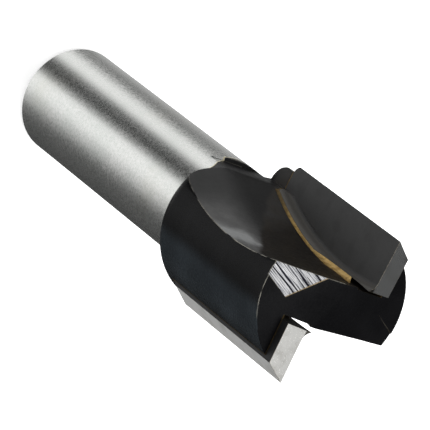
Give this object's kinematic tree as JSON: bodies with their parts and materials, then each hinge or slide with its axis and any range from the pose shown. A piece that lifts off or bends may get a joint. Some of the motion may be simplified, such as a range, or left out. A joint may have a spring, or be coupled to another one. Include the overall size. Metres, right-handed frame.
{
  "type": "straight router bit",
  "caption": "Straight router bit: a ground round shank and a blackened head with open gullets and brazed carbide tips.",
  "frame": {"origin": "centre of the shank's end face", "axes": "+Z along the bit's axis from the shank to the cutting end; tip 1 on the +X side with its rake face towards +Y"},
  "size_m": [0.0182, 0.0176, 0.0635],
  "materials": {
    "body_steel": "ground bright shank, the head blackened and glossy",
    "carbide": "ground sintered carbide, grey satin",
    "braze": "as-brazed golden filler"
  },
  "bodies": {
    "root": {"bit_body": "body_steel", "carbide_tip_1": "carbide", "carbide_tip_2": "carbide", "braze_joint_1": "braze", "braze_joint_2": "braze"}
  },
  "joints": []
}
